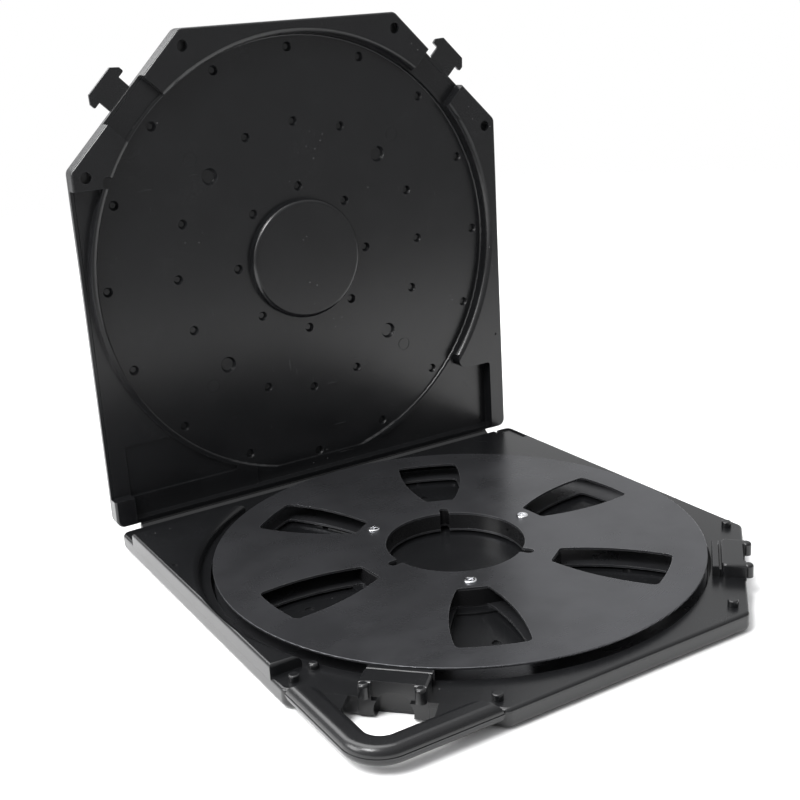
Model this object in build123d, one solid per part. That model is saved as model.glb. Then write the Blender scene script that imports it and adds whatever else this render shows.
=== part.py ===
from build123d import *
import os
from functools import reduce
from math import cos, radians, sin, sqrt
from operator import add

# Moulded carrying case for a ten and a half inch reel, lid standing open, reel in its well.
# Millimetres. The origin is on the reel axis at the underside of the base: +X is right
# along the hinge, +Y is back towards the hinge, +Z is up. The lid is modelled closed, then
# turned open. Numbers ending in 0, 1 name the low and high end of a range.

os.makedirs("parts", exist_ok=True)

# ---------------------------------------------------------------- body
HALF_W = 143.5          # half the width
BACK_Y = 141.6          # hinge-side face
FRONT_Y = -143.5
CHAMFER_S = 152.0       # axis to the 45 degree face on each front corner
CORNER_R = 5.0          # plan radius of the corners
WALL = 2.2
SKIN = 1.6              # thickness of the base's bottom
SEAM_Z = 8.4            # parting seam between the two skins of the base
SEAM_GAP = 0.05
SHELF_Z = 10.6          # shelf that the lid rim closes on
TRAY_Z0 = SEAM_Z + SEAM_GAP

# tray
DECK_Z = 17.0           # raised deck along the left side
DECK_X1 = -20.0
DECK_Y0, DECK_Y1 = -59.5, 121.0
WELL_R = 134.9          # well that the reel lies in
WELL_WALL = 2.0
GROOVE_R = 140.2        # groove round the well for the lid's ring wall
FLOOR_Z = 3.4
SEAT_Z = 4.85           # seat ring under the reel's hub
SEAT_R0, SEAT_R1 = 53.5, 63.0
BLISTER_X, BLISTER_Y = -123.0, -63.4
PEG_XY = [(-135.4, -67.6), (-70.4, -133.8), (70.4, -133.8), (135.4, -67.6)]
PEG_R, PEG_H = 2.6, 3.2

# latch catches, in the frame given by corner()
BAY_S0, BAY_HALF = 143.9, 16.0      # inner face and half width of the bay for a catch
ARCH_R, ARCH_S0, ARCH_Z = 9.2, 145.9, 3.7
CORNER_OUT = 160.0                  # beyond the corner face, where cutters end

# ---------------------------------------------------------------- reel
INCH = 25.4
REEL_R = 10.5 * INCH / 2
BORE_R = 3.0 * INCH / 2
HUB_R = 4.5 * INCH / 2
FLANGE_T = 1.2
HUB_H = 8.7
REEL_Z0 = SEAT_Z + 0.05
HUB_Z0 = REEL_Z0 + FLANGE_T
HUB_Z1 = HUB_Z0 + HUB_H
SLOT_R, SLOT_W = 45.0, 5.4          # outer end and width of the slots off the bore
SCREW_PITCH_R = 49.25
SCREW_HOLE_R = 1.75
REEL_PHASE = 4.4                    # angle of the first screw from +X, degrees
SCREW_ANGLES = [REEL_PHASE + 120 * k for k in range(3)]
# flange window, inner edge to outer edge: radius, half angle in degrees
WINDOW = [(57.3, 8.2), (86.0, 11.15), (115.7, 9.0)]

# ---------------------------------------------------------------- lid, closed
LID_Z0 = SHELF_Z + 0.2  # rim
LID_T = 14.0            # depth of the lid
LID_SEAM_Z = LID_Z0 + 7.0
CUT_Z0 = LID_Z0 - 1     # where cutters start, below the rim
BOWL_R = 135.4
BOWL_D = 9.0
BOWL_Z = LID_Z0 + BOWL_D
BOWL_Y1 = 131.3         # flat side of the bowl towards the hinge
FLARE = 4.0             # rounding of the bowl's mouth
RIDGE_R = 139.9         # outer face of the ring wall on the left side
RIDGE_SHIFT = 3.1       # the ring wall thins towards the hinge
SIDE_D = 7.0            # depth of the recess along the left rim
BAND_D = 7.6            # depth of the band beside the hinge and of the pocket
BAND_X0, BAND_Y1 = -131.0, 138.8
BAND_X1 = -44.8
LABEL_Y0 = 94.0         # front edge of the panel in the back left corner
POCKET_X1, POCKET_Y0 = 132.4, 93.0
LIP_D = 1.6             # setback of the lip along the hinge
TIP_X, TIP_Y, TIP_R = 113.4, 87.0, 6.0
LOW_D = 6.4             # lowered ring wall beside the pocket
TROUGH_D = 7.6
TROUGH_W = 34.6
BOSS_R, BOSS_TOP, BOSS_WALL = 37.3, 3.0, 2.0
# lowered crest of the ring wall: y, height above the rim
CREST = [(4, -1), (4, -0.01), (60, 2.4), (98, 6.2), (BOWL_Y1, 6.75), (BOWL_Y1, -1)]
# areas left solid behind the rim: x0, x1, y0, y1
SOLID_AREAS = [
    (-200, -90, DECK_Y0 - 3.2, 200),
    (-200, -40, 88, 200),
    (60, 134.6, 78, 200),
    (-150, 134.6, 129, 200),
]
# blind cups in the lid: ring radius, cup radius, angles in degrees
SIXTEENTHS = [22.5 * k for k in range(16)]
DIAGONALS = SIXTEENTHS[2::4]
CUP_RINGS = [
    (45.0, 2.6, SIXTEENTHS[::2]),
    (84.5, 2.6, [a for a in SIXTEENTHS if a not in DIAGONALS]),
    (82.0, 4.7, DIAGONALS),
    (128.3, 2.6, SIXTEENTHS),
]

# latch tabs
TAB_T = 2.0
NECK_W, NECK_L = 18.2, 7.9
HEAD_W, HEAD_OUT_W, HEAD_L = 27.0, 19.4, 7.4
TAB_S = CHAMFER_S + 0.2             # fold line
TAB_Z = LID_Z0 + TROUGH_D

# hinge
HINGE_Z, HINGE_S = 3.6, 10.0        # lower fold line, and width of the spine
SPINE_HALF = 128.6
OPEN_DEG = 90.3                     # how far the lid stands open

TOP = 60.0              # above every closed part, where through cutters end
FAR = 200.0             # beyond the body in plan


# ---------------------------------------------------------------- helpers
def polygon(*points):
    return make_face(Polyline(*points, close=True))


def prism(face, z0, z1):
    return Pos(0, 0, z0) * extrude(face, z1 - z0, dir=(0, 0, 1))


def box(x0, x1, y0, y1, z0, z1):
    return Pos((x0 + x1) / 2, (y0 + y1) / 2, (z0 + z1) / 2) * Box(x1 - x0, y1 - y0, z1 - z0)


def cyl(radius, z0, z1, x=0.0, y=0.0):
    return Pos(x, y, (z0 + z1) / 2) * Cylinder(radius, z1 - z0)


def column(radius, x=0.0, y=0.0):
    """cylinder through the full height of the case"""
    return cyl(radius, 0, TOP, x, y)


def tube(r0, r1, z0, z1):
    return cyl(r1, z0, z1) - cyl(r0, z0 - 1, z1 + 1)


def spin(shape, degrees):
    return Rot(0, 0, degrees) * shape


def largest(shape):
    return max(shape.solids(), key=lambda solid: solid.volume)


def outline(inset=0.0):
    """plan of the body: a rectangle with both front corners cut at 45 degrees"""
    half, back, front = HALF_W - inset, BACK_Y - inset, FRONT_Y + inset
    reach = (CHAMFER_S - inset) * sqrt(2)
    face = polygon((-half, back), (-half, half - reach), (-(reach + front), front),
                   (reach + front, front), (half, half - reach), (half, back))
    return fillet(face.vertices(), max(CORNER_R - inset * 0.5, 0.8))


def corner(side):
    """Frame at a front corner: x runs outward through the 45 degree face,
    y runs along that face, z stays up. side -1 is the left corner."""
    return Rot(0, 0, -45 if side > 0 else -135)


def corner_box(side, *limits):
    return corner(side) * box(*limits)


def flared(radius, z_mouth, z_floor, flare, foot):
    """Turned cutter: straight wall, mouth rounded outward by flare, small rounding
    foot at the floor. The mouth may be above or below the floor."""
    way = 1 if z_floor > z_mouth else -1
    sweep = radians(75)

    def on_flare(angle):
        return (radius + flare - flare * cos(angle), z_mouth + way * (flare - flare * sin(angle)))

    wall_top, flare_mid, flare_end = on_flare(0), on_flare(sweep / 2), on_flare(sweep)
    outer = (flare_end[0] + sin(sweep) * 3.0, flare_end[1] - way * cos(sweep) * 3.0)
    wall_foot = (radius, z_floor - way * foot)
    foot_step = foot * (1 - sin(radians(45)))
    foot_mid = (radius - foot_step, z_floor - way * foot_step)
    foot_end = (radius - foot, z_floor)
    edges = [
        Line((0, outer[1]), outer),
        Line(outer, flare_end),
        ThreePointArc(flare_end, flare_mid, wall_top),
        Line(wall_top, wall_foot),
        ThreePointArc(wall_foot, foot_mid, foot_end),
        Line(foot_end, (0, z_floor)),
        Line((0, z_floor), (0, outer[1])),
    ]
    return revolve(Plane.XZ * make_face(edges), Axis.Z)


def try_fillet(shape, edges, radius):
    """fillet, or the largest reduced radius that works, or none"""
    for factor in (1.0, 0.75, 0.5, 0.3):
        # guards against a fillet that the kernel cannot build at this radius
        try:
            out = fillet(edges, radius * factor)
            if out.is_valid and out.volume > 0:
                return out
        except Exception:
            pass
    return shape


def round_top(shape, radius):
    return try_fillet(shape, shape.edges().group_by(Axis.Z)[-1], radius)


def round_bottom(shape, radius):
    return try_fillet(shape, shape.edges().group_by(Axis.Z)[0], radius)


# ---------------------------------------------------------------- base
def catch_bay(side, z0, z1):
    """space in a front corner that a latch catch fills"""
    return corner_box(side, BAY_S0, CORNER_OUT, -BAY_HALF, BAY_HALF, z0, z1)


def finger_arch(side):
    """cylinder whose axis runs outward through the 45 degree face"""
    middle, length = (ARCH_S0 + CORNER_OUT) / 2, CORNER_OUT - ARCH_S0
    return corner(side) * (Pos(middle, 0, ARCH_Z) * Rot(0, 90, 0) * Cylinder(ARCH_R, length))


def make_base_shell():
    shell = round_bottom(prism(outline(), 0, SEAM_Z), 4.0)
    shell -= prism(outline(WALL), SKIN, SEAM_Z + 1)
    for side in (-1, 1):
        shell -= catch_bay(side, SKIN, SEAM_Z + 1)
        shell -= finger_arch(side)
    return shell


def make_raised_deck():
    deck = round_top(box(-HALF_W, DECK_X1, DECK_Y0, DECK_Y1, TRAY_Z0, DECK_Z), 1.8)
    deck -= flared(GROOVE_R, DECK_Z, SHELF_Z - 4.0, 4.4, 0.5)
    return largest(deck)


def make_tray():
    tray = round_top(prism(outline(), TRAY_Z0, SHELF_Z), 1.9)
    # the edge stays square where the handle's web carries the shelf on
    tray += (prism(outline(), TRAY_Z0, SHELF_Z)
             & corner_box(-1, 147.0, 153.0, -44.0, 44.0, TRAY_Z0, SHELF_Z))
    tray = tray + make_raised_deck()
    tray -= (box(-HALF_W + WALL, DECK_X1, DECK_Y0 + WALL, DECK_Y1 - WALL,
                 TRAY_Z0 - 1, DECK_Z - WALL) - column(GROOVE_R + 2.0))

    # well with its floor and seat ring
    tray -= column(WELL_R)
    tray += tube(WELL_R, WELL_R + WELL_WALL, SKIN + 0.2, SHELF_Z - 1.0)
    tray += cyl(WELL_R + WELL_WALL, SKIN + 0.2, FLOOR_Z)
    tray += tube(SEAT_R0, SEAT_R1, FLOOR_Z - 0.1, SEAT_Z)

    # floor relief: a shallow ring step, radial ribs and a ring of round recesses
    tray -= tube(118.0, 131.5, FLOOR_Z - 0.5, FLOOR_Z + 0.3)
    for k in range(8):
        tray += spin(box(66, 117, -0.9, 0.9, FLOOR_Z - 0.1, FLOOR_Z + 0.5), 22.5 + 45 * k)
    for angle in SIXTEENTHS:
        tray -= spin(cyl(2.4, FLOOR_Z - 0.9, FLOOR_Z + 1, 92.0, 0), angle)
    for side in (-1, 1):
        tray -= catch_bay(side, TRAY_Z0 - 1, SHELF_Z + 5)

    # small blister beside the front end of the raised deck
    blister = round_top(cyl(2.6, SHELF_Z - 0.5, 13.6, BLISTER_X, BLISTER_Y), 1.6)
    tray += blister - column(WELL_R)
    # notch and shallow corner recess at the right-hand end of the hinge
    tray -= box(129.5, 133.0, 134.5, 150, TRAY_Z0 - 1, 20)
    tray -= box(134.4, 141.3, 118.0, 138.6, SHELF_Z - 1.0, SHELF_Z + 5)
    # small round dimple on the raised deck
    tray -= cyl(1.7, DECK_Z - 0.7, DECK_Z + 1, -138.9, 66.0)
    return tray


def make_pegs():
    pegs = [round_top(cyl(PEG_R, SHELF_Z, SHELF_Z + PEG_H, x, y), 0.7) for x, y in PEG_XY]
    return Compound(children=[peg.solid() for peg in pegs])


def make_catch(side):
    face_s = CHAMFER_S - 0.1
    foot_z = SHELF_Z + 0.05
    top_z = 18.0
    way_half = 9.9                      # half width of the way for the tab's neck
    post_s, post_y, post_r = 152.6, 12.9, 2.6

    low = corner_box(side, 144.0, face_s, -15.9, 15.9, SKIN + 0.05, SHELF_Z + 0.06)
    top = box(139.7, face_s, -15.6, 15.6, foot_z, top_z)
    top = try_fillet(top, top.edges().filter_by(Axis.Z).sort_by(Axis.X)[:2], 2.6)
    top = corner(side) * round_top(top, 1.3)
    rib = corner(side) * round_top(box(135.2, 138.7, -15.4, 15.4, foot_z, 16.9), 0.8)
    bridge = corner_box(side, 137.5, 141.0, -14.4, 14.4, foot_z, 14.6)
    catch = low + top + rib + bridge
    catch -= finger_arch(side)
    catch -= corner_box(side, 150.4, CORNER_OUT, -way_half, way_half, 9.0, top_z + 1)

    # a round post on a flat strip at each side of the way
    for y in (-post_y, post_y):
        post = round_top(cyl(post_r, 10.9, top_z, post_s, y), 1.5)
        catch += corner(side) * (post - box(140, 170, -way_half - 0.1, way_half + 0.1, 0, TOP))
        catch += corner_box(side, face_s - 1.0, face_s, y - 2.4, y + 2.4, 2.0, 11.0)
    return catch


def make_handle():
    """bar round the front left corner, joined to the 45 degree face by a web"""
    z0, z1 = 4.6, 13.6
    width = 12.6
    outer = -143.1                      # outer sides of the bar, in x and in y
    inner = outer + width
    end = -74.0

    def at_corner(face, place):
        return [v for v in face.vertices() if abs(v.X - place) < 0.1 and abs(v.Y - place) < 0.1]

    plan = polygon((outer, end), (outer, outer), (end, outer),
                   (end, inner), (inner, inner), (inner, end))
    plan = fillet(at_corner(plan, outer), 19.0)
    plan = fillet(at_corner(plan, inner), 8.0)
    bar = round_top(prism(plan, z0, z1), 4.2)
    bar = round_bottom(bar, 3.4)
    # parting ridge along the side of the bar
    bar += prism(offset(plan, 0.4), 8.5, 9.2)

    edge = outer + 4
    web = prism(polygon((edge, end), (edge, edge), (end, edge)), 7.2, 10.5)
    # finger opening
    web -= corner_box(-1, 140, 230, -20.5, 20.5, 0, 30)
    handle = bar + web
    handle -= corner_box(-1, 60, CHAMFER_S + 0.1, -140, 140, -5, 40)
    return largest(handle)


# ---------------------------------------------------------------- reel
def window_face():
    def point(radius, angle):
        return (radius * cos(angle), radius * sin(angle))

    (r_in, a_in), (r_mid, a_mid), (r_out, a_out) = [(r, radians(a)) for r, a in WINDOW]
    face = make_face([
        Line(point(r_in, -a_in), point(r_in, a_in)),
        ThreePointArc(point(r_in, a_in), point(r_mid, a_mid), point(r_out, a_out)),
        ThreePointArc(point(r_out, a_out), (r_out, 0), point(r_out, -a_out)),
        ThreePointArc(point(r_out, -a_out), point(r_mid, -a_mid), point(r_in, -a_in)),
    ])
    face = fillet([v for v in face.vertices() if v.X > 100], 3.2)
    return fillet([v for v in face.vertices() if v.X < 60], 2.2)


def slot_cutter(z0, z1):
    """three round-ended slots outward from the bore, midway between the screws"""
    half = SLOT_W / 2
    slots = [
        spin(box(BORE_R - 6, SLOT_R - half, -half, half, z0, z1)
             + cyl(half, z0, z1, SLOT_R - half, 0), angle + 60)
        for angle in SCREW_ANGLES
    ]
    return reduce(add, slots)


def make_flange(z0):
    window = window_face()
    plan = Circle(REEL_R) - Circle(BORE_R)
    for k in range(6):
        plan -= spin(window, REEL_PHASE + 60 * k)
    for angle in SCREW_ANGLES:
        plan -= spin(Pos(SCREW_PITCH_R, 0) * Circle(SCREW_HOLE_R), angle)
    flange = prism(plan, z0, z0 + FLANGE_T)
    flange -= slot_cutter(z0 - 1, z0 + FLANGE_T + 1)
    rim = [e for e in flange.edges()
           if e.geom_type == GeomType.CIRCLE and abs(e.radius - REEL_R) < 0.01]
    return try_fillet(flange, rim, 0.45)


def make_hub():
    hub = tube(BORE_R, HUB_R, HUB_Z0, HUB_Z1)
    hub -= slot_cutter(0, TOP)
    for angle in SCREW_ANGLES:
        hub -= spin(column(SCREW_HOLE_R, SCREW_PITCH_R, 0), angle)
        # small blind dimple in the bore wall beside each screw
        hub -= spin(Pos(BORE_R, 0, REEL_Z0 + 5.5) * Rot(0, 90, 0) * Cylinder(1.1, 2.4), angle)
    return hub


def make_screws(face_z, way, shank_l):
    """three cross-recessed screws on a flange face; way is +1 for heads upward"""
    head_r, head_h, shank_r = 3.4, 0.95, 1.6
    cross_l, cross_w = 1.9, 0.42        # half length and half width of the cross

    def span(low, high):
        """z range from heights measured outward from the flange face"""
        return sorted((face_z + way * low, face_z + way * high))

    screws = []
    for k, angle in enumerate(SCREW_ANGLES):
        x = SCREW_PITCH_R * cos(radians(angle))
        y = SCREW_PITCH_R * sin(radians(angle))
        round_head = round_top if way > 0 else round_bottom
        head = round_head(cyl(head_r, *span(0, head_h), x, y), 0.75)
        screw = head + cyl(shank_r, *span(-shank_l, 0.2), x, y)
        cross = (box(-cross_l, cross_l, -cross_w, cross_w, *span(0.25, 2))
                 + box(-cross_w, cross_w, -cross_l, cross_l, *span(0.25, 2)))
        screw -= Pos(x, y, 0) * spin(cross, 25 + 40 * k)
        screws.append(screw.solid())
    return Compound(children=screws)


# ---------------------------------------------------------------- lid, closed
def make_lid_shell():
    """outer skin: flat top plate with softly rounded edges"""
    cover = round_top(prism(outline(), LID_SEAM_Z + SEAM_GAP, LID_Z0 + LID_T), 4.6)
    cover -= prism(outline(WALL), LID_SEAM_Z - 1, LID_Z0 + LID_T - 1.8)
    for side in (-1, 1):
        cover -= corner_box(side, 148.0, CORNER_OUT, -TROUGH_W / 2, TROUGH_W / 2,
                            LID_SEAM_Z - 1, LID_Z0 + TROUGH_D)
    return cover


def recess(x0, x1, y0, y1, depth):
    return box(x0, x1, y0, y1, CUT_Z0, LID_Z0 + depth)


def lid_cutters():
    """bowl and recesses of the inner panel, in the order they are cut"""
    ridge = column(RIDGE_R)
    ring = column(sqrt(RIDGE_R ** 2 + RIDGE_SHIFT ** 2), 0, -RIDGE_SHIFT)
    bowl = (flared(BOWL_R, LID_Z0, BOWL_Z, FLARE, 1.2)
            & box(-FAR, FAR, -FAR, BOWL_Y1 + 0.1, 0, TOP))

    # left rim outside the ring wall, in three lengths
    side_front = largest(recess(-FAR, -60, DECK_Y0 - 1.0, 0, SIDE_D) - ridge)
    side_back = recess(-FAR, BAND_X0, 80, 124.6, SIDE_D)
    side_middle = largest(recess(-FAR, -60, 0, LABEL_Y0, SIDE_D) - ring)
    # label panel in the back left corner
    label = largest(recess(BAND_X0, -60, LABEL_Y0, 126.0, BAND_D + 0.6) - ring)
    # band beside the hinge
    band = largest(recess(BAND_X0, BAND_X1, 125.9, BAND_Y1, BAND_D - 0.8) - ring)
    band_middle = recess(-46.5, 41.5, BOWL_Y1, BAND_Y1, BAND_D)

    # pocket in the back right corner
    plan = polygon((20, POCKET_Y0), (POCKET_X1, POCKET_Y0), (POCKET_X1, BAND_Y1), (20, BAND_Y1))
    plan = fillet([v for v in plan.vertices() if v.X > 130 and v.Y < 100], 2.2)
    pocket = largest(prism(plan, CUT_Z0, LID_Z0 + BAND_D) - ring)
    # the rim panel ends in a rounded tip between the bowl and the pocket
    tip_plan = polygon((94, POCKET_Y0 + 0.5), (TIP_X, POCKET_Y0 + 0.5), (TIP_X, TIP_Y),
                       (TIP_X * 0.958, TIP_Y * 0.958), (94, 83.3))
    tip = largest(prism(tip_plan, CUT_Z0, LID_Z0 + BAND_D) - column(TIP_R, TIP_X, TIP_Y))
    # the ring wall is lower beside the pocket and the tip
    low_pocket = ((prism(plan, CUT_Z0, LID_Z0 + LOW_D) & ridge)
                  & box(41.5, FAR, 0, BOWL_Y1, 0, TOP))
    low_tip = tip & box(0, FAR, 0, FAR, 0, LID_Z0 + LOW_D)

    # on the left the crest of the ring wall comes down gradually towards the hinge
    crest_x0 = -141.0
    crest_face = Plane.YZ * polygon(*[(y, LID_Z0 + height) for y, height in CREST])
    crest = Pos(crest_x0, 0, 0) * extrude(crest_face, BAND_X1 - crest_x0, dir=(1, 0, 0))
    crest = largest(crest & (column(RIDGE_R + 0.2) - column(BOWL_R - 2)))
    # nothing of the ring wall stands above the band where the bowl meets it
    ring_gap = (recess(-46.5, 46.5, 122.0, BOWL_Y1 + 0.05, BAND_D)
                & (column(RIDGE_R + 0.4) - column(BOWL_R - 2)))
    # a lip stays along the hinge, set back a little from the rim
    lip = recess(BAND_X0, POCKET_X1, BAND_Y1 - 0.1, 150, LIP_D)
    return [bowl, side_front, side_back, side_middle, label, band, band_middle, pocket,
            tip - ring, low_pocket, low_tip, crest, ring_gap, lip]


def rim_hollow():
    """space behind the rim, closed towards the reel side"""
    hollow = prism(outline(WALL), LID_Z0 + WALL, TOP) - column(RIDGE_R + 1.8)
    for area in SOLID_AREAS:
        hollow -= box(*area, 0, TOP)
    half = TROUGH_W / 2 + 2
    for side in (-1, 1):
        hollow -= corner_box(side, 120.0, 170, -half, half, 0, TOP)
    for x, y in PEG_XY:
        hollow -= column(5.4, x, y)
    return hollow


def make_lid_panel():
    """inner skin"""
    panel = round_bottom(prism(outline(), LID_Z0, LID_SEAM_Z), 1.5)
    panel += (prism(outline(WALL + 0.1), LID_SEAM_Z - 0.5, LID_Z0 + LID_T - 1.85)
              & box(-FAR, FAR, -FAR, FAR, LID_SEAM_Z - 0.5, BOWL_Z + SKIN))
    for cutter in lid_cutters():
        panel -= cutter
    # troughs that the latch tabs fold from
    trough_z = LID_Z0 + TROUGH_D
    for side in (-1, 1):
        panel -= (corner_box(side, 130.0, CORNER_OUT, -TROUGH_W / 2, TROUGH_W / 2,
                             CUT_Z0, trough_z) - cyl(BOWL_R + 1.7, trough_z - 1.0, TOP))
    panel -= rim_hollow()
    # sockets for the locating pegs
    for x, y in PEG_XY:
        panel -= cyl(3.3, CUT_Z0, LID_Z0 + 4.4, x, y)

    # blind tapered cups, each backed by a round pad
    cups = []
    for ring_r, cup_r, angles in CUP_RINGS:
        for angle in angles:
            panel += spin(cyl(cup_r + 0.9, BOWL_Z + 0.3, BOWL_Z + 3.0, ring_r, 0), angle)
            cone = Pos(ring_r, 0, BOWL_Z + 0.9) * Cone(cup_r + 0.62, cup_r - 0.9, 2.8)
            cups.append(spin(cone, angle))
    panel -= reduce(add, cups)
    # thin ring marks
    for angle in DIAGONALS:
        panel -= spin(Pos(98.0, 0, 0) * tube(3.7, 4.4, BOWL_Z - 0.5, BOWL_Z + 0.3), angle)

    # hollow boss that drops into the reel's bore when the lid is shut
    boss_z = LID_Z0 + BOSS_TOP
    panel += round_bottom(cyl(BOSS_R, boss_z, BOWL_Z + 0.5), 2.8)
    panel -= cyl(BOSS_R - BOSS_WALL, boss_z + 1.9, TOP)
    # socket for the blister at the front end of the raised deck
    socket_r, socket_z = 3.5, LID_Z0 + 5.6
    panel -= (cyl(socket_r, CUT_Z0, socket_z, BLISTER_X, BLISTER_Y)
              + spin(box(130.0, 138.4, -socket_r, socket_r, CUT_Z0, socket_z), 207.27))
    # tiny gate mark on the right rim
    panel -= cyl(0.9, CUT_Z0, LID_Z0 + 0.6, 138.0, 74.0)
    return panel


def make_tab(side):
    root = TAB_S + 0.15
    head0 = TAB_S + NECK_L
    taper, head1 = head0 + 3.2, head0 + HEAD_L
    neck, head, tip = NECK_W / 2, HEAD_W / 2, HEAD_OUT_W / 2
    plan = polygon((root, -neck), (head0, -neck), (head0, -head), (taper, -head), (head1, -tip),
                   (head1, tip), (taper, head), (head0, head), (head0, neck), (root, neck))
    plan = fillet([v for v in plan.vertices()
                   if v.X > head0 + 1 or abs(abs(v.Y) - head) < 0.1], 0.9)
    tab = round_top(prism(plan, TAB_Z, TAB_Z + TAB_T), 0.35)
    # the root thins down to the fold line
    thin, above = TAB_Z + 0.45, TAB_Z + TAB_T + 0.2
    wedge = Rot(90, 0, 0) * polygon((root - 1, thin), (root, thin),
                                    (root + 1.5, above), (root - 1, above))
    tab -= Pos(0, 20, 0) * extrude(wedge, 40, dir=(0, -1, 0))
    return corner(side) * tab


def make_spine():
    spine = box(-SPINE_HALF, SPINE_HALF, BACK_Y + 0.2, BACK_Y + 3.4,
                HINGE_Z + 0.4, HINGE_Z + HINGE_S - 0.4)
    return try_fillet(spine, spine.edges().filter_by(Axis.X), 1.5)


# ---------------------------------------------------------------- stand the lid open
def fold(z):
    """half the opening turn, about the line along X at the hinge face and height z"""
    return Pos(0, BACK_Y, z) * Rot(-OPEN_DEG / 2, 0, 0) * Pos(0, -BACK_Y, -z)


spine_open = fold(HINGE_Z)
lid_open = spine_open * fold(HINGE_Z + HINGE_S)

NODES = {
    "base_outer_shell": make_base_shell(),
    "base_inner_tray": make_tray(),
    "locating_pegs": make_pegs(),
    "latch_catch_left": make_catch(-1),
    "latch_catch_right": make_catch(1),
    "carry_handle": make_handle(),
    "hinge_spine": spine_open * make_spine(),
    "lid_outer_shell": lid_open * make_lid_shell(),
    "lid_inner_panel": lid_open * make_lid_panel(),
    "latch_left": lid_open * make_tab(-1),
    "latch_right": lid_open * make_tab(1),
    "reel_hub": make_hub(),
    "reel_upper_flange": make_flange(HUB_Z1),
    "reel_lower_flange": make_flange(REEL_Z0),
    "upper_flange_screws": make_screws(HUB_Z1 + FLANGE_T, 1, 5.0),
    "lower_flange_screws": make_screws(REEL_Z0, -1, 4.6),
}
for name, shape in NODES.items():
    export_step(shape, f"parts/{name}.step")
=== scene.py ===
"""A moulded case lying open, with a flanged reel in its base.

Metres, +Z up. The base lies flat on the floor. X runs along the hinge, which is on the +Y side,
and the lid stands up from it. This script gives them materials and soft edges, adds the thin
hinge webs and sets up the stage.
"""
import bmesh
import bpy
import math
from mathutils import Matrix, Vector


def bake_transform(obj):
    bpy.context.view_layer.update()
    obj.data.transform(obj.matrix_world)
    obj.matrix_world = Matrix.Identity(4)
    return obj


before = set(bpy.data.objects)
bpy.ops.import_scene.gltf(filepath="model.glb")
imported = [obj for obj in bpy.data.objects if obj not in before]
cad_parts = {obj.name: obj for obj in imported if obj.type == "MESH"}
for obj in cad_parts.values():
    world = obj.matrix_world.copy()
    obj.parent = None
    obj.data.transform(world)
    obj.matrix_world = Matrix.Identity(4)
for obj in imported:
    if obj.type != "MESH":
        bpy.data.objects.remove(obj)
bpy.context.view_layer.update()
scene = bpy.context.scene

MM = 0.001


# ------------------------------------------------------------------ node tools
class NodeTree:
    """Short calls for building the node tree of a material or world."""

    def __init__(self, owner, output_kind):
        owner.use_nodes = True
        self.tree = owner.node_tree
        self.tree.nodes.clear()
        self.output = self.add(output_kind)
        self.coords = self.add("TexCoord").outputs

    def put(self, socket, value):
        """Link value if it is a socket, otherwise store it."""
        if isinstance(value, bpy.types.NodeSocket):
            self.tree.links.new(value, socket)
        else:
            socket.default_value = value

    def add(self, kind, inputs=None, **settings):
        node = self.tree.nodes.new("ShaderNode" + kind)
        for key, value in settings.items():
            setattr(node, key, value)
        for key, value in (inputs or {}).items():
            self.put(node.inputs[key], value)
        return node

    def math(self, operation, first, second=0.0):
        return self.add("Math", {0: first, 1: second}, operation=operation).outputs[0]

    def times(self, first, second):
        return self.math("MULTIPLY", first, second)

    def ramp(self, value, start, end, low=0.0, high=1.0):
        """Smooth step from low at start to high at end."""
        node = self.add("MapRange", {
            "Value": value, "From Min": start, "From Max": end, "To Min": low, "To Max": high,
        }, interpolation_type="SMOOTHSTEP")
        return node.outputs["Result"]

    def split(self, vector):
        return self.add("SeparateXYZ", {0: vector}).outputs

    def mix_shaders(self, factor, first, second):
        return self.add("MixShader", {0: factor, 1: first, 2: second}).outputs[0]

    def is_camera_ray(self):
        return self.add("LightPath").outputs["Is Camera Ray"]


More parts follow.
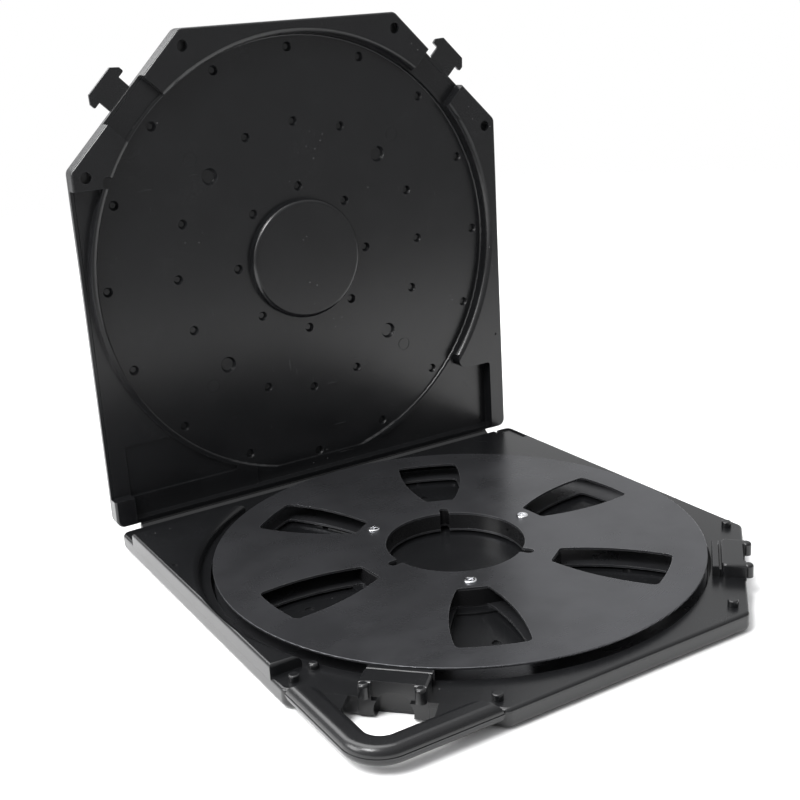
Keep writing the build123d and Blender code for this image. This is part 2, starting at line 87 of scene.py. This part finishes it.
class Material(NodeTree):
    """A Principled material with textures in object coordinates."""

    def __init__(self, name):
        self.material = bpy.data.materials.new(name)
        super().__init__(self.material, "OutputMaterial")
        self.shader = self.add("BsdfPrincipled")

    def finish(self, surface=None):
        """Send surface, or the plain Principled shader, to the output."""
        self.put(self.output.inputs["Surface"], surface or self.shader.outputs["BSDF"])
        return self.material

    def set(self, name, value):
        self.put(self.shader.inputs[name], value)

    def noise(self, scale, detail=3.0, roughness=0.5, vector=None):
        return self.add("TexNoise", {
            "Scale": scale, "Detail": detail, "Roughness": roughness,
            "Vector": vector or self.coords["Object"],
        }).outputs["Fac"]

    def stretched_noise(self, scale_xyz, detail):
        mapping = self.add("Mapping", {"Scale": scale_xyz, "Vector": self.coords["Object"]})
        return self.noise(scale=1.0, detail=detail, roughness=MEDIUM[detail],
                          vector=mapping.outputs["Vector"])

    def cells(self, scale):
        node = self.add("TexVoronoi", {"Scale": scale, "Vector": self.coords["Object"]},
                        feature="F1")
        return node.outputs["Distance"]

    def mix(self, factor, first, second):
        return self.add("Mix", {0: factor, 6: first, 7: second}, data_type="RGBA").outputs[2]

    def cover(self, under, mask, over, strength):
        """Lay the colour over on top of under where mask is high."""
        return self.mix(self.times(mask, strength), under, over)

    def vary(self, value, noise, swing):
        """Move value up and down with a noise centred on 0.5."""
        return self.math("ADD", value, self.times(self.math("SUBTRACT", noise, 0.5), swing))

    def lower(self, value, mask, by):
        return self.math("SUBTRACT", value, self.times(mask, by))

    def bump(self, height, distance, normal=None):
        inputs = {"Strength": 1.0, "Distance": distance, "Height": height}
        if normal is not None:
            inputs["Normal"] = normal
        return self.add("Bump", inputs).outputs["Normal"]

    def edges(self, radius, start, end):
        """0 on faces, towards 1 on edges, from a rounded normal."""
        rounded = self.add("Bevel", {"Radius": radius}, samples=4).outputs["Normal"]
        true_normal = self.add("NewGeometry").outputs["Normal"]
        dot = self.add("VectorMath", {0: rounded, 1: true_normal}, operation="DOT_PRODUCT")
        return self.ramp(self.math("SUBTRACT", 1.0, dot.outputs["Value"]), start, end)

    def specks(self, scale, rim, core, patch_scale, patch_start, patch_end):
        """Small dots, gathered in patches."""
        dots = self.ramp(self.cells(scale), rim, core)
        patches = self.noise(scale=patch_scale, detail=1.0)
        return self.times(dots, self.ramp(patches, patch_start, patch_end))


# roughness of a stretched noise, by its detail
MEDIUM = {2.0: 0.5, 3.0: 0.55}


def tone(rgb, gain=1.0, lift=0.0):
    """Opaque colour from rgb, brightened by gain and then lift."""
    return tuple(value * gain + lift for value in rgb) + (1.0,)


def grey(value):
    return (value, value, value, 1.0)


# ------------------------------------------------------------------ materials
def plastic(name, base, roughness, grain_depth, wave_depth, scuffing):
    """Black moulding with fine grain, pale worn edges and handling marks."""
    mat = Material(name)
    grain = mat.noise(scale=2600.0, detail=2.0, roughness=0.6)
    waves = mat.noise(scale=16.0, detail=2.0, roughness=0.45)
    patches = mat.noise(scale=38.0, detail=4.0, roughness=0.6)
    fine = mat.noise(scale=420.0, detail=3.0, roughness=0.6)

    # long thin scratches in two directions, only in some places
    scratches = mat.math("MAXIMUM", *(
        mat.ramp(mat.stretched_noise(scale_xyz, detail=2.0), start=0.735, end=0.80)
        for scale_xyz in ((900, 28, 60), (36, 60, 800))))
    scratched = mat.ramp(mat.noise(scale=9.0, detail=2.0), start=0.5, end=0.68)
    scratches = mat.times(scratches, scratched)
    specks = mat.specks(scale=230.0, rim=0.10, core=0.05,
                        patch_scale=31.0, patch_start=0.60, patch_end=0.70)
    worn = mat.times(mat.edges(radius=0.0009, start=0.03, end=0.30),
                     mat.ramp(fine, start=0.35, end=0.75, low=0.25, high=1.0))

    color = mat.mix(mat.ramp(patches, start=0.3, end=0.72),
                    tone(base, gain=0.92), tone(base, gain=1.10))
    color = mat.cover(color, worn, tone(base, gain=2.6, lift=0.022), strength=0.65)
    color = mat.cover(color, scratches, (0.16, 0.16, 0.165, 1.0), strength=0.30 * scuffing)
    color = mat.cover(color, specks, grey(0.30), strength=0.55 * scuffing)
    mat.set("Base Color", color)

    rough = mat.ramp(patches, start=0.25, end=0.75,
                     low=roughness - 0.01, high=roughness + 0.015)
    rough = mat.vary(rough, grain, swing=0.08)
    mat.set("Roughness", mat.lower(rough, worn, by=0.07))
    mat.set("Specular IOR Level", 0.46)

    # the cells add to the grain at a lower height
    cell_height = 0.6
    texture = mat.math("ADD", grain, mat.times(mat.cells(scale=1500.0), cell_height))
    mat.set("Normal", mat.bump(texture, grain_depth, mat.bump(waves, wave_depth)))
    return mat.finish()


def anodised(name, base, roughness):
    """Dark turned metal with satin rings round the reel axis, and bare edges whose pale colour
    is partly real bare metal and partly a painted edge highlight.
    """
    mat = Material(name)
    fine = mat.noise(scale=1900.0, detail=2.0, roughness=0.6)
    patches = mat.noise(scale=24.0, detail=4.0, roughness=0.55)
    smears = mat.stretched_noise((26, 40, 26), detail=3.0)

    rings_per_metre = 900.0
    x, y, _ = mat.split(mat.coords["Object"])
    radius = mat.math("SQRT", mat.math("ADD", mat.times(x, x), mat.times(y, y)))
    along_radius = mat.add("CombineXYZ", {0: mat.times(radius, rings_per_metre)})
    rings = mat.noise(scale=1.0, detail=3.0, roughness=0.6, vector=along_radius.outputs[0])

    worn = mat.times(mat.edges(radius=0.00042, start=0.05, end=0.35),
                     mat.ramp(mat.noise(scale=140.0, detail=2.0),
                              start=0.25, end=0.6, low=0.45, high=1.0))
    dust = mat.specks(scale=260.0, rim=0.085, core=0.04,
                      patch_scale=22.0, patch_start=0.62, patch_end=0.72)
    color = mat.mix(mat.ramp(patches, start=0.3, end=0.7),
                    tone(base, gain=0.85), tone(base, gain=1.15))
    # painted highlight: the edge mask lightens the colour to pale metal grey, partly real bare
    # edges and partly a painted edge highlight
    color = mat.mix(worn, color, (0.42, 0.42, 0.43, 1.0))
    mat.set("Base Color", mat.cover(color, dust, grey(0.25), strength=0.5))
    mat.set("Metallic", 0.75)

    rough = mat.ramp(smears, start=0.3, end=0.7, low=roughness - 0.03, high=roughness + 0.05)
    mat.set("Roughness", mat.vary(rough, rings, swing=0.07))
    ring_normal = mat.bump(rings, distance=0.0000022)
    mat.set("Normal", mat.bump(fine, distance=0.0000035, normal=ring_normal))
    return mat.finish()


def plated(name):
    """Bright plating with slightly smoother edges."""
    mat = Material(name)
    smears = mat.noise(scale=420.0, detail=3.0, roughness=0.6)
    mat.set("Base Color", mat.mix(mat.ramp(smears, start=0.3, end=0.7),
                                  (0.62, 0.63, 0.65, 1.0), (0.86, 0.86, 0.88, 1.0)))
    mat.set("Metallic", 1.0)
    rough = mat.ramp(smears, start=0.3, end=0.7, low=0.16, high=0.30)
    worn = mat.edges(radius=0.0004, start=0.05, end=0.3)
    mat.set("Roughness", mat.lower(rough, worn, by=0.06))
    mat.set("Normal", mat.bump(mat.noise(scale=1600.0, detail=2.0), distance=0.000004))
    return mat.finish()


CASE = plastic("case_moulded_black", base=(0.0056, 0.0058, 0.0064), roughness=0.25,
               grain_depth=0.000010, wave_depth=0.00004, scuffing=0.75)
THIN = plastic("thin_moulded_black", base=(0.0068, 0.0070, 0.0076), roughness=0.26,
               grain_depth=0.000009, wave_depth=0.00005, scuffing=0.8)
HUB = plastic("hub_moulded_black", base=(0.0065, 0.0065, 0.007), roughness=0.26,
              grain_depth=0.000008, wave_depth=0.00004, scuffing=0.3)
REEL = anodised("reel_black_anodised", base=(0.064, 0.065, 0.070), roughness=0.28)
STEEL = plated("screw_plated")

# ------------------------------------------------------------------ CAD bodies
# body: material, width of its softened edges
BODY_LOOKS = {
    "base_outer_shell": (CASE, 0.00035),
    "base_inner_tray": (CASE, 0.0004),
    "lid_outer_shell": (CASE, 0.0004),
    "lid_inner_panel": (CASE, 0.0007),
    "carry_handle": (CASE, 0.0005),
    "latch_catch_left": (CASE, 0.0004),
    "latch_catch_right": (CASE, 0.0004),
    "locating_pegs": (CASE, 0.0002),
    "hinge_spine": (THIN, 0.0004),
    "latch_left": (THIN, 0.00025),
    "latch_right": (THIN, 0.00025),
    "reel_hub": (HUB, 0.0002),
    "reel_upper_flange": (REEL, 0.00022),
    "reel_lower_flange": (REEL, 0.00022),
    "upper_flange_screws": (STEEL, 0.00008),
    "lower_flange_screws": (STEEL, 0.00008),
}
OTHER_LOOK = (CASE, 0.0003)


def add_modifier(body, name, kind, **settings):
    modifier = body.modifiers.new(name, kind)
    for key, value in settings.items():
        setattr(modifier, key, value)


def dress(body, material, edge_width):
    """Give a CAD body its material, smooth shading and soft edges."""
    mesh = body.data
    mesh.materials.clear()
    mesh.materials.append(material)
    if mesh.has_custom_normals:
        bpy.context.view_layer.objects.active = body
        body.select_set(True)
        bpy.ops.mesh.customdata_custom_splitnormals_clear()
        body.select_set(False)
    for face in mesh.polygons:
        face.use_smooth = True
        face.material_index = 0
    # join the facets and dissolve flat areas, so that the bevel meets clean edges
    add_modifier(body, "weld", "WELD", merge_threshold=0.00001)
    add_modifier(body, "flat", "DECIMATE", decimate_type="DISSOLVE",
                 angle_limit=math.radians(0.6))
    add_modifier(body, "soft_edges", "BEVEL", width=edge_width, segments=2,
                 limit_method="ANGLE", angle_limit=math.radians(32),
                 harden_normals=True, use_clamp_overlap=True)
    add_modifier(body, "normals", "WEIGHTED_NORMAL", mode="FACE_AREA_WITH_ANGLE", weight=60)


for body_name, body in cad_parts.items():
    dress(body, *BODY_LOOKS.get(body_name, OTHER_LOOK))

# ------------------------------------------------------------------ film hinges
# Thin webs of the same moulding join the bodies along the fold lines. They are drawn with the
# lid closed and carried to the resting pose, so each end lies inside the body it belongs to.
FOLD_Y = 0.1416
BASE_FOLD_Z = 0.0036
SPINE_WIDTH = 0.010
FOLD_ANGLE = math.radians(90.3 / 2)  # each of the two folds takes half of the opening
PATH_STEPS = 4                       # path pieces between two stations
STRIP_CELL = 0.004                   # length of one mesh cell along the fold
MIN_CELLS = 6
FOLD_THICKNESS = 0.55                # share of the full thickness left at the fold line


def fold_at(z):
    """Opening turn about the line along X at FOLD_Y and height z."""
    return (Matrix.Translation((0, FOLD_Y, z)) @ Matrix.Rotation(-FOLD_ANGLE, 4, "X")
            @ Matrix.Translation((0, -FOLD_Y, -z)))


BASE_POSE = Matrix.Identity(4)
SPINE_POSE = fold_at(BASE_FOLD_Z)
LID_POSE = SPINE_POSE @ fold_at(BASE_FOLD_Z + SPINE_WIDTH)


def smooth_path(points):
    """Catmull-Rom curve through points."""
    path = []
    ends = [points[0] * 2 - points[1]] + points + [points[-1] * 2 - points[-2]]
    for before, start, end, after in zip(ends, ends[1:], ends[2:], ends[3:]):
        for step in range(PATH_STEPS):
            t = step / PATH_STEPS
            path.append(0.5 * (2 * start + (end - before) * t
                               + (2 * before - 5 * start + 4 * end - after) * t * t
                               + (3 * start - before - 3 * end + after) * t ** 3))
    path.append(points[-1])
    return path


def film_hinge(name, line, side, half_width, thickness):
    """Closed strip whose section follows line, reaching half_width each way along side."""
    path = smooth_path(line)
    count = len(path)
    offsets = []
    for i in range(count):
        ahead = (path[min(i + 1, count - 1)] - path[max(i - 1, 0)]).normalized()
        # thinnest at the fold line, swelling towards both roots
        from_fold = abs(i / (count - 1) - 0.5) * 2
        share = FOLD_THICKNESS + (1 - FOLD_THICKNESS) * from_fold * from_fold
        offsets.append(side.cross(ahead).normalized() * (thickness * share / 2))

    cells = max(int(half_width * 2 / STRIP_CELL), MIN_CELLS)
    verts = []
    for j in range(cells + 1):
        across = -half_width + 2 * half_width * j / cells
        for sign in (1, -1):
            verts += [point + side * across + offset * sign
                      for point, offset in zip(path, offsets)]

    row = 2 * count
    faces = []
    for j in range(cells):
        a, b = j * row, (j + 1) * row
        for i in range(count - 1):
            faces.append((a + i, a + i + 1, b + i + 1, b + i))
            faces.append((a + count + i, b + count + i, b + count + i + 1, a + count + i + 1))
        faces.append((a, b, b + count, a + count))
        faces.append((a + count - 1, a + row - 1, b + row - 1, b + count - 1))
    for a, order in ((0, 1), (cells * row, -1)):
        for i in range(count - 1):
            cap = (a + i, a + count + i, a + count + i + 1, a + i + 1)
            faces.append(cap[::order])

    mesh = bpy.data.meshes.new(name)
    mesh.from_pydata([tuple(vert) for vert in verts], [], faces)
    mesh.update()
    shell = bmesh.new()
    shell.from_mesh(mesh)
    bmesh.ops.recalc_face_normals(shell, faces=shell.faces)
    shell.to_mesh(mesh)
    shell.free()
    for face in mesh.polygons:
        face.use_smooth = True
    mesh.materials.append(THIN)
    scene.collection.objects.link(hinge := bpy.data.objects.new(name, mesh))
    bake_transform(hinge)


# long webs: name, bodies, stations (pose, y, z) in mm
LONG_WEBS = (
    ("film_hinge_base", ("base", "spine"), (
        (BASE_POSE, 141.05, 1.9), (BASE_POSE, 141.35, 2.9), (BASE_POSE, 141.85, 3.62),
        (SPINE_POSE, 142.15, 4.4), (SPINE_POSE, 142.5, 5.6))),
    ("film_hinge_lid", ("spine", "lid"), (
        (SPINE_POSE, 142.5, 11.6), (SPINE_POSE, 142.15, 12.8), (SPINE_POSE, 141.9, 13.58),
        (LID_POSE, 141.35, 14.3), (LID_POSE, 141.05, 15.3))),
)
for name, bodies, stations in LONG_WEBS:
    line = [pose @ Vector((0, y * MM, z * MM)) for pose, y, z in stations]
    film_hinge(name, line, side=Vector((1, 0, 0)), half_width=0.1283, thickness=0.0007)

# webs at the two front corners of the lid: (distance from the Z axis, z) in mm
TAB_STATIONS = ((151.2, 18.72), (151.8, 18.68), (152.2, 18.64), (152.7, 18.68), (153.4, 18.74))
for tab, degrees in (("tab_left", -135), ("tab_right", -45)):
    angle = math.radians(degrees)
    outward = Vector((math.cos(angle), math.sin(angle), 0))
    along = Vector((-math.sin(angle), math.cos(angle), 0))
    line = [LID_POSE @ (outward * (r * MM) + Vector((0, 0, z * MM))) for r, z in TAB_STATIONS]
    film_hinge("film_hinge_" + tab, line,
               side=(LID_POSE.to_3x3() @ along).normalized(),
               half_width=0.0088, thickness=0.00050)


# ------------------------------------------------------------------ stage
def floor_material():
    mat = Material("pale_floor")
    position = mat.coords["Object"]
    mottle = mat.ramp(mat.noise(scale=3.0, detail=2.0), start=0.3, end=0.7)
    white = mat.mix(mottle, grey(0.90), grey(0.92))
    # painted shade: towards the front the floor's colour darkens to grey for reflections and
    # bounce light only, standing in for a dim room; seen directly, the floor is pale all over
    front = mat.ramp(mat.split(position)[1], start=-0.26, end=-0.60)
    painted_front_shade = mat.times(front, mat.math("SUBTRACT", 1.0, mat.is_camera_ray()))
    # painted shade: the pale floor colour is mixed to grey where the front mask is high, for
    # non-camera rays
    mat.set("Base Color", mat.mix(painted_front_shade, white, grey(0.20)))
    mat.set("Roughness", 0.6)
    mat.set("Specular IOR Level", 0.2)
    # the floor fades into the white surroundings before its rim
    distance = mat.add("VectorMath", {0: position}, operation="LENGTH").outputs["Value"]
    return mat.finish(mat.mix_shaders(mat.ramp(distance, start=0.75, end=1.5),
                                      mat.shader.outputs["BSDF"],
                                      mat.add("BsdfTransparent").outputs[0]))


bpy.ops.mesh.primitive_circle_add(vertices=96, radius=2.2, fill_type="NGON",
                                  location=(0, 0.1, -0.0002))
floor = bpy.context.object
floor.name = "studio_floor"
floor.data.materials.append(floor_material())


def build_world():
    """Dim room in front, brighter behind, overhead and to the left; white to the camera."""
    scene.world = bpy.data.worlds.new("studio")
    sky = NodeTree(scene.world, "OutputWorld")
    x, y, z = sky.split(sky.coords["Generated"])
    behind = sky.ramp(y, start=-0.45, end=0.5, low=0.45, high=0.74)
    over = sky.ramp(z, start=0.35, end=0.95, high=0.5)
    left = sky.ramp(x, start=-0.4, end=-0.95, high=0.35)
    level = sky.math("ADD", sky.math("ADD", behind, over), left)
    room = sky.add("Background", {"Color": (0.985, 0.99, 1.0, 1), "Strength": level})
    backdrop = sky.add("Background", {"Color": grey(1.0), "Strength": 1.0})
    sky.put(sky.output.inputs[0],
            sky.mix_shaders(sky.is_camera_ray(), room.outputs[0], backdrop.outputs[0]))


build_world()

# square area lights: name, place, point aimed at, size, watts
LIGHTS = (
    ("overhead_soft", (-0.10, 0.46, 1.40), (0.0, 0.1, 0.0), 1.00, 15.0),
    ("front_top_soft", (-0.72, -0.24, 1.12), (-0.02, 0.12, 0.15), 0.45, 15.0),
    ("back_soft", (-0.5, 1.25, 1.15), (0, 0.1, 0.05), 0.8, 9.0),
    ("left_soft", (-1.25, 0.25, 0.75), (-0.25, 0, 0.0), 0.7, 13.0),
)
for name, place, target, size, watts in LIGHTS:
    light = bpy.data.lights.new(name, "AREA")
    light.energy = watts
    light.size = size
    lamp = bpy.data.objects.new(name, light)
    scene.collection.objects.link(lamp)
    lamp.location = place
    lamp.rotation_euler = (Vector(target) - Vector(place)).to_track_quat("-Z", "Y").to_euler()

# ------------------------------------------------------------------ camera
lens = bpy.data.cameras.new("camera")
lens.lens = 54.5307
lens.shift_x = 0.0736271
lens.shift_y = -0.0370838
lens.sensor_width = 36.0
lens.clip_start = 0.01
lens.clip_end = 50.0
camera = bpy.data.objects.new("camera", lens)
scene.collection.objects.link(camera)
# columns: camera right, up, backward, place
camera.matrix_world = Matrix((
    (0.8680356803584846, 0.19893950749263828, -0.45490342929370103, -0.33894343),
    (-0.49171343447524324, 0.21751241177764097, -0.8431525657194162, -0.51080116),
    (-0.06878921413378253, 0.9555686386028271, 0.286629762825838, 0.30077931),
    (0.0, 0.0, 0.0, 1.0)))
scene.camera = camera

scene.view_settings.view_transform = "Standard"
scene.view_settings.look = "None"
scene.view_settings.exposure = 0.0
